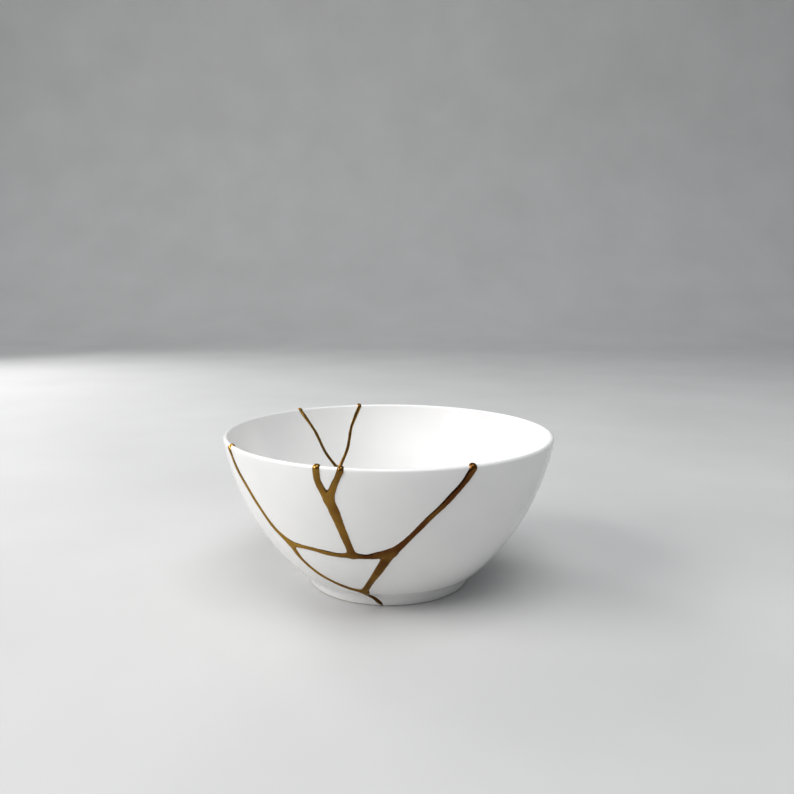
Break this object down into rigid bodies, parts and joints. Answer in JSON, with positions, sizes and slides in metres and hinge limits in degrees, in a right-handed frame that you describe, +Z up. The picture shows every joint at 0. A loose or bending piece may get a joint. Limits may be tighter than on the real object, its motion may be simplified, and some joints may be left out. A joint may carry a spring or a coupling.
{
  "type": "kintsugi bowl",
  "caption": "Round white porcelain bowl on a low foot ring, broken and mended, with raised gold seams across the wall, rim and base.",
  "frame": {"origin": "middle of the foot ring's underside, where the bowl stands", "axes": "+Z up out of the bowl's mouth, -Y towards the side with most seams"},
  "size_m": [0.14, 0.14, 0.066],
  "materials": {
    "porcelain": "glossy white glaze",
    "gold": "bright gold lustre on a raised uneven seam"
  },
  "bodies": {
    "root": {"shard_front_left": "porcelain", "shard_rim_chip": "porcelain", "shard_front_middle": "porcelain", "shard_front_low": "porcelain", "shard_left_side": "porcelain", "shard_right_side": "porcelain", "shard_back": "porcelain", "gold_seam": "gold"}
  },
  "joints": []
}
